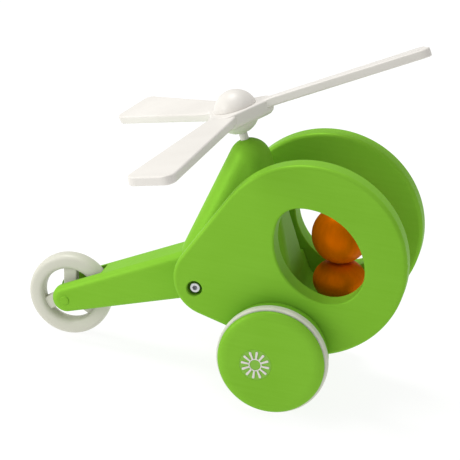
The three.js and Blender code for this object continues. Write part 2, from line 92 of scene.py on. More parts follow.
AXLE = Sizes(x=-14.4, z=25.3, r=2.5, half=44.6, edge=0.5, slack=0.1)
KEEL = Sizes(half=9.5, corner=3, shoulder=3)
BUSH = Sizes(r=3.9, flange=4.5, bore=2.8, inner=12, outer=31.8, edge=0.4)
WHEEL = Sizes(x=-7.7, z=27.25, r=26.1, inner=32, face=46.8, crown=2.8, crown_run=5.4,
              back_edge=1.2)
GROOVE = Sizes(r=23.4, start=38.2, end=43.2, lip=0.3)
TYRE = Sizes(r=27.25, shoulder=1.3, slack=0.05)
CAP = Sizes(r=7.8, recess=1.6, slack=0.05, edge=0.12)
BADGE = Sizes(ribs=12, inner=2.7, ring=0.5, outer=7, root=0.8, tip=1.3, height=0.35, web=0.16,
              lift=0.02, ring_lift=0.03, root_corner=0.2, tip_corner=0.5, edge=0.15)

TAIL = Sizes(x=-121.4, z=19.76, r=21.5, rim=7.8, half=4.5, hub=5.6, hub_play=1, hub_edge=0.6,
             squareness=3.2)
TAIL_AXLE = Sizes(r=2.4, half=11.9, edge=0.6, slack=0.05)
SPOKE = Sizes(count=3, width=7, thick=4.6, first=95.5, edge=0.8)
BOOM = Sizes(half=11.4, edge=4, end=7.3, slot=6.2, slot_r=23.2, slot_corner=1.2, front=-47)
BOOM_CORNERS = [Sizes(x=-61, z=56.2), Sizes(x=BOOM.front, z=56.2), Sizes(x=BOOM.front, z=43.4)]

LEAN = 25.05
ROTOR = Sizes(x=-49.4, z=132.45, tip=97.2, phase=139.3, blades=3)
BLADE = Sizes(start=5, drop=0.3, root=14, half_root=6.5, half_tip=12, half_thick=2.2, edge=0.9,
              corner=6, pitch=7.7, level_to=8, pitched_from=20)
TIP_STATIONS = (6, 5, 4, 3.1, 2.3, 1.6, 0.9, 0.55, 0.3, 0.12, 0.03, 0)      # closer near the tip
HUB = Sizes(r=12.4, top=2.1, bottom=-5.6, boss=4, boss_bottom=-7.5, boss_edge=0.4, bore=2.4,
            blend=9, lower_edge=3.1, upper_edge=0.9, seam=0.1)
ARM = Sizes(end=18.0, half=9.3, squareness=2.4)
SHAFT = Sizes(r=2.1, bore=2.4, top=5, bottom=-42, neck=1.2, neck_top=-33, neck_bottom=-36,
              edge=0.5)
KEEPER = Sizes(r=1, hole=1.2, aside=2.5, inner=-7, outer=11.4, edge=0.3)
ROTOR_CAP = Sizes(r=10.8, wall=1.8)
CUP = Sizes(r=11.2, wall=1.8, mouth=4.6)

PILOT = Sizes(x=14.5, lean=7.4, head_at=33.1, head_r=14.2, body_at=9.7, body_r=13.2, body_h=10.6,
              foot=1.15, body_top=19)
PEG = Sizes(r=3, bore=3.3, bottom=-9, top=27, hole_top=6, edge=0.6)

# ------------------------------------------------------------------ places
STANCE = (Matrix.Translation((0, 0, LIFT * MM)) @ Matrix.Rotation(math.radians(PITCH), 4, "Y")
          @ Matrix.Scale(MM, 4))
ALONG_Y = Matrix.Rotation(math.radians(-90), 4, "X")
ACROSS = Matrix.Scale(-1, 4, (0, 1, 0))
ROTOR_PLACE = (Matrix.Translation((ROTOR.x, 0, ROTOR.z))
               @ Matrix.Rotation(math.radians(-LEAN), 4, "Y"))
PILOT_PLACE = (Matrix.Translation((PILOT.x, 0, FLOOR.z))
               @ Matrix.Rotation(math.radians(-PILOT.lean), 4, "Y"))


def turns(count, axis, first=0.0):
    """The matrices that repeat a shape evenly about an axis, the first one turned by some degrees."""
    return [Matrix.Rotation(math.radians(first + 360 * i / count), 4, axis) for i in range(count)]


def across(place):
    """The matrix that lays a shape turned about z along y, through a place in x and z."""
    return Matrix.Translation((place.x, 0, place.z)) @ ALONG_Y


# ------------------------------------------------------------------ outlines
def arc(centre, r, start, end, steps):
    """Points on an arc, turning anticlockwise from one angle to the other."""
    sweep = (end - start) % math.tau
    angles = [start + sweep * i / steps for i in range(steps + 1)]
    return [Vector((centre.x + r * math.cos(a), centre.z + r * math.sin(a))) for a in angles]


def bearing(a, b):
    """The angle from one place to another."""
    return math.atan2(b.z - a.z, b.x - a.x)


def bend(a, b, c, t):
    """The point at t on a quadratic curve from a to c that is drawn towards b."""
    return a * (1 - t) ** 2 + b * 2 * t * (1 - t) + c * t * t


def bead(r, h, at, low, high, steps):
    """Points (radius, height) up the side of a ball squashed to half height h, between two heights."""
    start, end = math.asin((low - at) / h), math.asin((high - at) / h)
    angles = [start + (end - start) * i / steps for i in range(steps + 1)]
    return [(r * math.cos(a), at + h * math.sin(a)) for a in angles]


def taut(big, small, big_steps, small_steps):
    """The outline of a band pulled taut around two circles."""
    along = bearing(small, big)
    apart = math.hypot(big.x - small.x, big.z - small.z)
    turn = math.pi / 2 + math.asin((big.r - small.r) / apart)
    return (arc(big, big.r, along - turn, along + turn, big_steps)
            + arc(small, small.r, along + turn, along - turn, small_steps))


def egg(low, high, side):
    """A large and a small end joined by two shallow side arcs."""
    apart = math.hypot(high.x - low.x, high.z - low.z)
    to_low, to_high = side - low.r, side - high.r
    along = (to_low ** 2 - to_high ** 2 + apart ** 2) / (2 * apart)
    aside = math.sqrt(to_low ** 2 - along ** 2)
    axis = bearing(low, high)
    left, right = [Sizes(
        x=low.x + along * math.cos(axis) - sign * aside * math.sin(axis),
        z=low.z + along * math.sin(axis) + sign * aside * math.cos(axis),
    ) for sign in (1, -1)]
    return (arc(left, side, bearing(left, low), bearing(left, high), 24)
            + arc(high, high.r, bearing(left, high), bearing(right, high), 36)[1:]
            + arc(right, side, bearing(right, high), bearing(right, low), 24)[1:]
            + arc(low, low.r, bearing(right, low), bearing(left, low), 60)[1:-1])


def rounded(corners, closed=False, steps=7):
    """A line through corners (x, y) or (x, y, radius), where a radius rounds that corner off."""
    line = []
    for i, (x, y, *radius) in enumerate(corners):
        here = Vector((x, y))
        if not radius or not (closed or 0 < i < len(corners) - 1):
            line.append(here)
            continue
        before = (Vector(corners[i - 1][:2]) - here).normalized()
        after = (Vector(corners[(i + 1) % len(corners)][:2]) - here).normalized()
        angle = before.angle(after)
        sweep = math.pi - angle
        centre = here + (before + after).normalized() * radius[0] / math.sin(angle / 2)
        reach = radius[0] / math.tan(angle / 2)
        start, end = here + before * reach - centre, here + after * reach - centre
        for k in range(steps + 1):
            turned_by = sweep * k / steps
            mix = start * math.sin(sweep - turned_by) + end * math.sin(turned_by)
            line.append(centre + mix / math.sin(sweep))
    return line


def inset(outline, depth):
    """An anticlockwise outline moved inwards by depth."""
    line = []
    for before, here, after in zip(outline[-1:] + outline, outline, outline[1:] + outline[:1]):
        a, b = (here - before).normalized(), (after - here).normalized()
        normal = Vector((-a.y, a.x))
        middle = (normal + Vector((-b.y, b.x))).normalized()
        line.append(here + middle * depth / max(middle.dot(normal), 0.5))
    return line


# ------------------------------------------------------------------ solids
class Shell:
    """A closed mesh made of rings of points."""

    def __init__(self):
        self.points = []
        self.faces = []

    def ring(self, points):
        """Adds points and returns their numbers."""
        start = len(self.points)
        self.points += [Vector(p) for p in points]
        return list(range(start, len(self.points)))

    def wall(self, rings):
        """Faces between each ring and the next; a ring of one point makes a tip."""
        for a, b in zip(rings, rings[1:]):
            n = max(len(a), len(b))
            for i in range(n):
                j = (i + 1) % n
                around = [a[i % len(a)], a[j % len(a)], b[j % len(b)], b[i % len(b)]]
                self.faces.append(list(dict.fromkeys(around)))

    def cap(self, *loops):
        """A flat face inside the first ring, with the others as openings."""
        order = [i for loop in loops for i in loop]
        for triangle in tessellate_polygon([[self.points[i] for i in loop] for loop in loops]):
            self.faces.append([order[k] for k in triangle])

    def solid(self, place=Matrix.Identity(4)):
        mesh = bpy.data.meshes.new("solid")
        mesh.from_pydata([place @ p for p in self.points], [], self.faces)
        return as_object(outward(mesh))


def outward(mesh):
    """Turns a closed mesh's faces out."""
    work = bmesh.new()
    work.from_mesh(mesh)
    bmesh.ops.recalc_face_normals(work, faces=work.faces)
    work.to_mesh(mesh)
    work.free()
    return mesh


def as_object(mesh):
    """A new object in the scene for a mesh."""
    made = bpy.data.objects.new("solid", mesh)
    bpy.context.scene.collection.objects.link(made)
    return made


def turned(profile, place=Matrix.Identity(4), steps=96):
    """A solid turned about z. Profile points are (radius, height); it ends on the axis or closes."""
    shell = Shell()
    profile = [Vector(p[:2]) for p in profile]
    closed = (profile[0] - profile[-1]).length < 1e-6
    rings = []
    for r, height in profile[:-1] if closed else profile:
        angles = [math.tau * i / steps for i in range(steps if r > 1e-6 else 1)]
        rings.append(shell.ring([(r * math.cos(a), r * math.sin(a), height) for a in angles]))
    shell.wall(rings + rings[:1] if closed else rings)
    return shell.solid(place)


def rod(r, start, end, place=Matrix.Identity(4), edge=0.0, steps=48):
    """A round bar with softened ends."""
    ends = [(r, start, edge), (r, end, edge)] if edge else [(r, start), (r, end)]
    return turned(rounded([(0, start), *ends, (0, end)]), place, steps)


def slab(outline, start, end, edges, openings=(), steps=8):
    """An outline in x and z made solid from y = start to y = end. Its edges are rounded to two radii,
    one for each face; an opening is a loop with its own two."""
    shell = Shell()
    quarter = [math.pi / 2 * i / steps for i in range(steps + 1)]

    def side(loop, way, edges):
        first, last = edges
        levels = [(first * (1 - math.sin(a)), start + first * (1 - math.cos(a))) for a in quarter]
        levels += [(last * (1 - math.sin(a)), end - last * (1 - math.cos(a)))
                   for a in quarter[::-1]]
        rings = [[(p.x, y, p.y) for p in inset(loop, way * depth)] for depth, y in levels]
        rings = [shell.ring(points) for points in rings]
        shell.wall(rings)
        return rings

    sides = [side(outline, 1, edges)] + [side(loop, -1, own) for loop, own in openings]
    shell.cap(*[rings[0] for rings in sides])
    shell.cap(*[rings[-1] for rings in sides])
    return shell.solid()


def hull(balls, around=48):
    """The taut convex skin over balls (x, y, z, radius)."""
    work = bmesh.new()
    for x, y, z, r in balls:
        for i in range(around // 2 + 1):
            tilt = math.pi * i / (around // 2)
            for k in range(around if 0 < i < around // 2 else 1):
                turn = math.tau * k / around
                offset = (math.sin(tilt) * math.cos(turn), math.cos(tilt),
                          math.sin(tilt) * math.sin(turn))
                work.verts.new(Vector((x, y, z)) + r * Vector(offset))
    skin = bmesh.ops.convex_hull(work, input=work.verts)
    inside = [v for v in skin["geom_interior"] if isinstance(v, bmesh.types.BMVert)]
    bmesh.ops.delete(work, geom=inside, context="VERTS")
    bmesh.ops.dissolve_limit(work, angle_limit=math.radians(0.4), verts=work.verts, edges=work.edges)
    mesh = bpy.data.meshes.new("solid")
    work.to_mesh(mesh)
    work.free()
    return as_object(outward(mesh))


def boolean(operation, solid, tools):
    """One solid made from several, which are used up."""
    for tool in tools:
        step = solid.modifiers.new(operation, "BOOLEAN")
        step.operation, step.solver, step.object = operation, "EXACT", tool
    graph = bpy.context.evaluated_depsgraph_get()
    mesh = bpy.data.meshes.new_from_object(solid.evaluated_get(graph))
    for used in [solid, *tools]:
        bpy.data.objects.remove(used)
    return as_object(mesh)


def join(solid, *others):
    """The solids as one."""
    return boolean("UNION", solid, others)


def cut(solid, *tools):
    """The solid without the room the tools take."""
    return boolean("DIFFERENCE", solid, tools)


def moved(solid, place):
    """The solid after a move by a matrix; a mirror image keeps its faces out."""
    solid.data.transform(place)
    if place.determinant() < 0:
        solid.data.flip_normals()
    return solid


def copies(solid, places):
    """The solid repeated, once for each matrix; the one handed in is used up."""
    made = [moved(as_object(solid.data.copy()), place) for place in places]
    bpy.data.objects.remove(solid)
    return made


# ------------------------------------------------------------------ materials
EVEN = (1, 1, 1)                                # noise with no grain direction


def principled(slot, **sockets):
    """A new material with the given values set straight on its shader."""
    material = bpy.data.materials.new(slot)
    material.use_nodes = True
    tree = material.node_tree
    shader = tree.nodes["Principled BSDF"]
    for name, value in sockets.items():
        shader.inputs[name.replace("_", " ")].default_value = value
    return material, tree, shader


def noise(tree, stretch, scale, detail=4.0, roughness=0.55):
    """Noise over the piece's own coordinates, stretched along its grain."""
    where = tree.nodes.new("ShaderNodeTexCoord")
    mapping = tree.nodes.new("ShaderNodeMapping")
    mapping.inputs["Scale"].default_value = stretch
    texture = tree.nodes.new("ShaderNodeTexNoise")
    texture.inputs["Scale"].default_value = scale
    texture.inputs["Detail"].default_value = detail
    texture.inputs["Roughness"].default_value = roughness
    tree.links.new(where.outputs["Object"], mapping.inputs["Vector"])
    tree.links.new(mapping.outputs["Vector"], texture.inputs["Vector"])
    return texture.outputs["Fac"]


def spread(tree, value, low, high, from_low=0.3, from_high=0.7):
    """A noise value mapped to the range low to high."""
    ramp = tree.nodes.new("ShaderNodeMapRange")
    ramp.inputs["From Min"].default_value = from_low
    ramp.inputs["From Max"].default_value = from_high
    ramp.inputs["To Min"].default_value = low
    ramp.inputs["To Max"].default_value = high
    tree.links.new(value, ramp.inputs["Value"])
    return ramp.outputs["Result"]


def tones(tree, shader, factor, dark, light):
    """The base colour, between two tones."""
    mix = tree.nodes.new("ShaderNodeMix")
    mix.data_type = "RGBA"
    mix.inputs["A"].default_value = (*dark, 1)
    mix.inputs["B"].default_value = (*light, 1)
    tree.links.new(factor, mix.inputs["Factor"])
    tree.links.new(mix.outputs["Result"], shader.inputs["Base Color"])


def relief(tree, shader, heights, depth=0.2 * MM):
    """Bump of a depth in metres from noise values with their strengths, the last one on top."""
    normal = None
    for value, strength in heights:
        bump = tree.nodes.new("ShaderNodeBump")
        bump.inputs["Strength"].default_value = strength
        bump.inputs["Distance"].default_value = depth
        tree.links.new(value, bump.inputs["Height"])
        if normal:
            tree.links.new(normal, bump.inputs["Normal"])
        normal = bump.outputs["Normal"]
    tree.links.new(normal, shader.inputs["Normal"])


def added(tree, a, b, share):
    """Two noise values mixed, with b's share of the result."""
    mix = tree.nodes.new("ShaderNodeMix")
    mix.inputs["Factor"].default_value = share
    tree.links.new(a, mix.inputs["A"])
    tree.links.new(b, mix.inputs["B"])
    return mix.outputs["Result"]


def green_lacquered_wood():
    """Thick satin lacquer over close-grained wood: the grain only just telegraphs through."""
    material, tree, shader = principled(
        "green_lacquered_wood", Metallic=0.12, Specular_IOR_Level=0.02)
    grain = noise(tree, (30, 700, 700), 1.0)
    cloud = noise(tree, EVEN, 28.0, detail=2.0)
    skin = noise(tree, EVEN, 900.0, detail=1.0)
    tones(tree, shader, spread(tree, added(tree, grain, cloud, 0.6), 0, 1),
          (0.200, 0.470, 0.030), (0.226, 0.512, 0.040))
    tree.links.new(spread(tree, skin, 0.38, 0.46), shader.inputs["Roughness"])
    relief(tree, shader, [(grain, 0.07), (skin, 0.03)])
    return material


def orange_lacquered_wood():
    """Orange stain that lets the turned bead's grain show, under satin lacquer."""
    material, tree, shader = principled(
        "orange_lacquered_wood", Metallic=0.25, Specular_IOR_Level=0.0)
    grain = noise(tree, (420, 420, 26), 1.0, detail=6.0)
    cloud = noise(tree, EVEN, 60.0, detail=2.0)
    skin = noise(tree, EVEN, 1100.0, detail=1.0)
    tones(tree, shader, spread(tree, added(tree, grain, cloud, 0.4), 0, 1),
          (0.60, 0.120, 0.0), (0.78, 0.160, 0.0))
    tree.links.new(spread(tree, skin, 0.32, 0.42), shader.inputs["Roughness"])
    relief(tree, shader, [(grain, 0.15), (skin, 0.05)])
    return material


def plain_wood():
    """Bare beech: fine straight grain with short darker flecks."""
    material, tree, shader = principled("plain_wood")
    grain = noise(tree, (900, 60, 900), 1.0, detail=6.0)
    fleck = noise(tree, (1800, 260, 1800), 1.0, detail=2.0)
    tones(tree, shader, spread(tree, added(tree, grain, fleck, 0.4), 0, 1),
          (0.50, 0.31, 0.14), (0.72, 0.51, 0.28))
    tree.links.new(spread(tree, grain, 0.55, 0.72), shader.inputs["Roughness"])
    relief(tree, shader, [(grain, 0.25), (fleck, 0.15)])
    return material


def moulded(slot, dark, light, gloss):
    """Moulded plastic: even colour with faint flow marks and a fine spark-eroded skin."""
    material, tree, shader = principled(slot, Specular_IOR_Level=0.45)
    flow = noise(tree, (18, 40, 40), 1.0, detail=2.0)
    skin = noise(tree, EVEN, 1600.0, detail=2.0)
    tones(tree, shader, spread(tree, flow, 0, 1), dark, light)
    tree.links.new(spread(tree, skin, gloss - 0.04, gloss + 0.06), shader.inputs["Roughness"])
    relief(tree, shader, [(skin, 0.08)])
    return material


def white_plastic():
    return moulded("white_plastic", (0.73, 0.70, 0.65), (0.78, 0.75, 0.70), 0.40)


def greyed_plastic():
    """The rotor's white plastic made darker and greyer, as painted shade for the dimmer light the tail
    wheel gets low by the floor.
    """
    return moulded("white_plastic_painted_shade", (0.585, 0.580, 0.490), (0.625, 0.620, 0.525), 0.40)


def green_plastic():
    return moulded("green_plastic", (0.206, 0.478, 0.030), (0.226, 0.508, 0.040), 0.40)


def pale_rubber():
    """Soft pale rubber: matt, with a slightly dusty mottle."""
    material, tree, shader = principled(
        "pale_rubber", Specular_IOR_Level=0.3, Sheen_Weight=0.15, Sheen_Roughness=0.5)
    dust = noise(tree, EVEN, 160.0, detail=4.0)
    skin = noise(tree, EVEN, 1300.0, detail=2.0)
    tones(tree, shader, spread(tree, dust, 0, 1), (0.62, 0.63, 0.53), (0.70, 0.71, 0.60))
    tree.links.new(spread(tree, skin, 0.58, 0.72), shader.inputs["Roughness"])
    relief(tree, shader, [(skin, 0.15)])
    return material


def steel():
    """Bright zinc plate over turned steel, with fine lathe marks."""
    material, tree, shader = principled("steel", Metallic=1.0)
    marks = noise(tree, (120, 2600, 120), 1.0, detail=2.0)
    plating = noise(tree, EVEN, 500.0, detail=3.0)
    tones(tree, shader, spread(tree, plating, 0, 1), (0.50, 0.51, 0.53), (0.66, 0.67, 0.68))
    tree.links.new(spread(tree, marks, 0.22, 0.38), shader.inputs["Roughness"])
    relief(tree, shader, [(marks, 0.15)], 0.1 * MM)
    return material


MATERIALS = {make.__name__: make() for make in (
    green_lacquered_wood, orange_lacquered_wood, plain_wood, white_plastic, green_plastic,
    pale_rubber, steel)}

# ------------------------------------------------------------------ handing pieces over
BODY_OF = {node: body for body, nodes in frame["record"]["behaviour"]["bodies"].items()
           for node in nodes}
SLOT_OF = {part["node"]: part["material_slot"] for part in frame["record"]["subparts"]}
CREASE = 32                                     # degrees; a sharper edge isn't shaded smooth


def publish(solid, node, material=None):
    """The finished piece that stands for a CAD node: metres, smooth shading, material and body."""
    mesh = solid.data
    mesh.transform(STANCE)
    mesh.materials.clear()
    mesh.materials.append(material or MATERIALS[SLOT_OF[node]])
    mesh.shade_smooth()
    mesh.set_sharp_from_angle(angle=math.radians(CREASE))
    solid.name = mesh.name = node + "_finish"
    shading = solid.modifiers.new("even_shading", "WEIGHTED_NORMAL")
    shading.keep_sharp = True
    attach(solid, BODY_OF[node])
    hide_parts(node)


def publish_pair(left, name):
    """The piece on the toy's left and its mirror image on the right."""
    for side, solid in zip(("left_", "right_"), copies(left, (Matrix.Identity(4), ACROSS))):
        publish(solid, side + name)


# ------------------------------------------------------------------ side plates
def hole(place, r, start=-THROUGH, end=THROUGH):
    """A round cutter along y, right through unless its ends are given."""
    return rod(r, start, end, across(place))


def dowel_holes():
    return [hole(place, DOWEL.r + GAP, -DOWEL.half - GAP, DOWEL.half + GAP)
            for place in DOWEL.places]


def side_plate():
    """The far plate: an egg-shaped window, a stepped bolt hole and two dowel holes."""
    outer = PLATE.inner + PLATE.thick
    outline = taut(PLATE, LOBE, 180, 60)
    window = egg(EGG_LOW, EGG_HIGH, EGG_SIDE)
    plate = slab(outline, PLATE.inner, outer, (PLATE.edge, PLATE.edge),
                 [(window, WINDOW_EDGES)])
    bolt_hole = turned(rounded([
        (0, PLATE.inner - 1), (BOLT.bore, PLATE.inner - 1), (BOLT.bore, outer - BOLT.sunk),
        (BOLT.counterbore, outer - BOLT.sunk), (BOLT.counterbore, outer - BOLT.lip, BOLT.lip),
        (BOLT.counterbore + 2 * BOLT.lip, outer + BOLT.lip), (0, outer + BOLT.lip)]),
        across(BOLT), steps=64)
    return cut(plate, bolt_hole, *dowel_holes())


publish_pair(side_plate(), "side_plate")


# ------------------------------------------------------------------ body block and boom
def pair(half, place, r):
    """Two balls at y = -half and y = half."""
    return [(place.x, side * half, place.z, r) for side in (-1, 1)]


def boom_balls(extra, directions=24):
    """Balls whose skin is the boom without its slot, each larger by extra."""
    end_round = BOOM.end - BOOM.edge
    angles = [math.tau * i / directions for i in range(directions)]
    places = [Sizes(x=TAIL.x + end_round * math.cos(a), z=TAIL.z + end_round * math.sin(a))
              for a in angles]
    return [ball for place in places + BOOM_CORNERS
            for ball in pair(BOOM.half - BOOM.edge, place, BOOM.edge + extra)]


def boom_front(shift):
    """A cutter that squares off the boom's front end, larger than the boom all round."""
    x, low, high = BOOM.front + shift, 20, 90
    block = [Vector(p) for p in ((x, low), (0, low), (0, high), (x, high))]
    crisp = (0.01, 0.01)
    return slab(block, -THROUGH, THROUGH, crisp, steps=1)


def tail_boom():
    """A tapering bar with rounded edges, slotted at its round end for the tail wheel."""
    slot = rod(BOOM.slot_r, -BOOM.slot, BOOM.slot, across(TAIL), BOOM.slot_corner, steps=128)
    return cut(hull(boom_balls(0), 28), boom_front(0), slot,
               hole(TAIL, TAIL_AXLE.r + TAIL_AXLE.slack), hole(BOLT, BOLT.bore))


def lower_outline():
    """The part between the plates: belly, rounded nose, cabin floor and the curve up its back."""
    nose = Sizes(x=FLOOR.front - FLOOR.nose_back, z=FLOOR.z - FLOOR.nose_r)
    down = -math.pi / 2
    rise = math.asin(nose.x / BELLY_R)
    back = [Vector((2.5, FLOOR.z)), Vector((-3.4, FLOOR.z)), Vector((-6.2, 54.9))]
    return ([Vector((BODY_REAR, 41)), Vector((-34, 37.2))]
            + arc(PLATE, BELLY_R, down - 0.2, down + rise, 40)
            + arc(nose, FLOOR.nose_r, -math.pi / 5, math.pi / 2, 14)
            + [bend(*back, i / 16) for i in range(17)]
            + [Vector((-9.6, BODY_TOP)), Vector((BODY_REAR, BODY_TOP))])


def keel_outline():
    """The beam round the main axle; it widens into the block above."""
    corners = [Sizes(x=AXLE.x + side * (KEEL.half - KEEL.corner), z=AXLE.z - KEEL.half + KEEL.corner)
               for side in (-1, 1)]
    shoulder = AXLE.z + KEEL.shoulder
    return (arc(corners[0], KEEL.corner, -math.pi, -math.pi / 2, 10)
            + arc(corners[1], KEEL.corner, -math.pi / 2, 0, 10)
            + [Vector((AXLE.x + KEEL.half, shoulder)), Vector((3, 36)), Vector((-30, 40)),
               Vector((AXLE.x - KEEL.half, shoulder))])


def keeper_bar(r, start, end, edge=0.0):
    """A bar across the rotor shaft, beside the middle of its neck."""
    height = (SHAFT.neck_top + SHAFT.neck_bottom) / 2
    aside = Sizes(x=-KEEPER.aside, z=height)
    return rod(r, start, end, ROTOR_PLACE @ across(aside), edge, steps=32)


def body_block():
    """Mast, floor and keel in one, with seats for the boom, shaft, bolt, dowels, axle and peg."""
    mast = hull(
        [(DOME.x, 0, DOME.z, DOME.r)]
        + [b for p in MAST_REAR.places for b in pair(BODY_HALF - MAST_REAR.r, p, MAST_REAR.r)]
        + [b for p in MAST_FRONT.places for b in pair(BODY_HALF - MAST_FRONT.r, p, MAST_FRONT.r)],
        72)
    block = join(mast, slab(lower_outline(), -BODY_HALF, BODY_HALF, (0.8, 0.8), steps=4),
                 slab(keel_outline(), -BODY_HALF, BODY_HALF, (1, 1), steps=4))
    housing = cut(hull(boom_balls(GAP, 12), 20), boom_front(GAP))
    return cut(
        block, housing,
        rod(SHAFT.bore, SHAFT.bottom - 1, 0, ROTOR_PLACE),
        keeper_bar(KEEPER.hole, KEEPER.inner - GAP, THROUGH),
        hole(BOLT, BOLT.bore), *dowel_holes(), hole(AXLE, BUSH.r + GAP / 2),
        rod(PEG.bore, PEG.bottom - GAP, PEG.hole_top, PILOT_PLACE))


publish(tail_boom(), "tail_boom")
publish(body_block(), "body_block")


# ------------------------------------------------------------------ fixings
def key_socket():
    """A hexagonal plug that cuts the key socket in a bolt head."""
    return rod(BOLT.socket / 2, BOLT.head - BOLT.socket_deep, BOLT.head + 1, across(BOLT), steps=6)


def socket_bolt(core):
    """A barrel head at y = BOLT.head with a key socket, and a core profile towards the middle."""
    barrel = turned(rounded([*core, (BOLT.r, BOLT.head, BOLT.edge), (0, BOLT.head)]), across(BOLT),
                    steps=64)
    return cut(barrel, key_socket())


def cross_bolt():
    """The bolt on the far side: a thin threaded end under a thick shank."""
    return socket_bolt([(0, -15), (BOLT.thread, -15, 0.4), (BOLT.thread, 4.5), (BOLT.r, 4.5, 0.2)])


def cross_bolt_sleeve():
    """The same head on the near side, hollow for the bolt's thread."""
    bore = BOLT.thread + BOLT.thread_slack
    return moved(socket_bolt([(0, 18), (bore, 18), (bore, -4), (BOLT.r, -4, 0.2)]), ACROSS)


publish(cross_bolt(), "cross_bolt")
publish(cross_bolt_sleeve(), "cross_bolt_sleeve")
for dowel_name, dowel_place in zip(("rear_dowel", "front_dowel"), DOWEL.places):
    publish(rod(DOWEL.r, -DOWEL.half, DOWEL.half, across(dowel_place), DOWEL.edge), dowel_name)

# ------------------------------------------------------------------ main axle and wheels
publish(rod(AXLE.r, -AXLE.half, AXLE.half, across(AXLE), AXLE.edge), "main_axle")


def axle_bush():
    """A flanged sleeve between the block and the wheel."""
    flange_from = BODY_HALF + GAP
    return turned(rounded([
        (BUSH.bore, BUSH.inner), (BUSH.r, BUSH.inner, BUSH.edge), (BUSH.r, flange_from),
        (BUSH.flange, flange_from, BUSH.edge), (BUSH.flange, BUSH.outer, BUSH.edge),
        (BUSH.bore, BUSH.outer), (BUSH.bore, BUSH.inner)]), across(AXLE), steps=64)


def wheel():
    """A turned disc with a crowned rim, a groove for the tyre and off-centre axle and cap holes."""
    quarter = [math.pi / 2 * i / 16 for i in range(17)]
    crown = [(WHEEL.r - WHEEL.crown_run * (1 - math.cos(a)),
              WHEEL.face - WHEEL.crown * (1 - math.sin(a))) for a in quarter]
    disc = turned(rounded([
        (0, WHEEL.inner), (WHEEL.r, WHEEL.inner, WHEEL.back_edge),
        (WHEEL.r, GROOVE.start, GROOVE.lip), (GROOVE.r, GROOVE.start),
        (GROOVE.r, GROOVE.end), (WHEEL.r, GROOVE.end, GROOVE.lip)])[:-1]
        + [Vector(p) for p in crown] + [Vector((0, WHEEL.face))], across(WHEEL), steps=144)
    return cut(disc, hole(AXLE, AXLE.r + AXLE.slack, WHEEL.inner - 1, WHEEL.face + 1),
               hole(AXLE, CAP.r + CAP.slack, WHEEL.face - CAP.recess, WHEEL.face + 1))


def tyre():
    """A ring with rounded shoulders that fills the wheel's groove and stands out of it."""
    low, high = GROOVE.start + TYRE.slack, GROOVE.end - TYRE.slack
    bottom = GROOVE.r + TYRE.slack
    return turned(rounded([
        (bottom, low), (TYRE.r, low, TYRE.shoulder), (TYRE.r, high, TYRE.shoulder),
        (bottom, high), (bottom, low)]), across(WHEEL), steps=144)


def hub_cap():
    """A disc over the axle's end, flush with the wheel's face."""
    back = WHEEL.face - CAP.recess + CAP.slack
    return turned(rounded([
        (0, back), (CAP.r, back), (CAP.r, WHEEL.face, CAP.edge), (0, WHEEL.face)]),
        across(AXLE), steps=64)


def hub_badge():
    """Plain radial ribs, held together by a thin ring at their roots."""
    low = WHEEL.face + BADGE.lift
    inner, outer = BADGE.inner, BADGE.inner + BADGE.ring
    ring_low, ring_high = low + BADGE.ring_lift, low + BADGE.web
    ring = turned([(inner, ring_low), (outer, ring_low), (outer, ring_high), (inner, ring_high),
                   (inner, ring_low)], across(AXLE), steps=50)
    start, root, tip = inner + BADGE.ring / 2, BADGE.root / 2, BADGE.tip / 2
    outline = rounded([
        (start, -root, BADGE.root_corner), (BADGE.outer, -tip, BADGE.tip_corner),
        (BADGE.outer, tip, BADGE.tip_corner), (start, root, BADGE.root_corner)], closed=True)
    rib = slab(outline, low, low + BADGE.height, (BADGE.edge, BADGE.edge), steps=3)
    middle = Matrix.Translation((AXLE.x, 0, AXLE.z))
    return join(ring, *copies(rib, [middle @ turn for turn in turns(BADGE.ribs, "Y")]))


for wheel_part in (axle_bush, wheel, tyre, hub_cap, hub_badge):
    publish_pair(wheel_part(), wheel_part.__name__)


# ------------------------------------------------------------------ tail wheel
def tail_wheel():
    """A ring with a squarish round section, flat spokes and a hub that fits the boom's fork."""
    middle = TAIL.r - TAIL.rim / 2
    section = []
    for i in range(32):
        a = math.tau * i / 32
        power = TAIL.squareness
        full = (abs(math.cos(a)) ** power + abs(math.sin(a)) ** power) ** (-1 / power)
        section.append((middle + TAIL.rim / 2 * full * math.cos(a), TAIL.half * full * math.sin(a)))
    rim = turned(section + section[:1], ALONG_Y, steps=128)
    half = SPOKE.width / 2
    outline = [Vector(p) for p in ((0, -half), (middle, -half), (middle, half), (0, half))]
    spoke = slab(outline, -SPOKE.thick / 2, SPOKE.thick / 2, (SPOKE.edge, SPOKE.edge), steps=4)
    spokes = copies(spoke, turns(SPOKE.count, "Y", -SPOKE.first))
    hub_half = BOOM.slot - TAIL.hub_play
    hub = rod(TAIL.hub, -hub_half, hub_half, ALONG_Y, TAIL.hub_edge, steps=64)
    whole = cut(join(rim, hub, *spokes), rod(TAIL_AXLE.r + GAP, -THROUGH, THROUGH, ALONG_Y))
    return moved(whole, Matrix.Translation((TAIL.x, 0, TAIL.z)))


# the tail wheel gets a darker copy of the white plastic, which paints in its shade
publish(tail_wheel(), "tail_wheel", greyed_plastic())
publish(rod(TAIL_AXLE.r, -TAIL_AXLE.half, TAIL_AXLE.half, across(TAIL), TAIL_AXLE.edge),
        "tail_axle")


# ------------------------------------------------------------------ rotor
def smoothstep(start, end, x):
    """From 0 at start to 1 at end, without a corner at either."""
    t = min(max((x - start) / (end - start), 0), 1)
    return t * t * (3 - 2 * t)


def straight_half(x):
    """Half the blade's width at x, before its tip is rounded."""
    share = (x - BLADE.root) / (ROTOR.tip - BLADE.root)
    return BLADE.half_root + (BLADE.half_tip - BLADE.half_root) * share


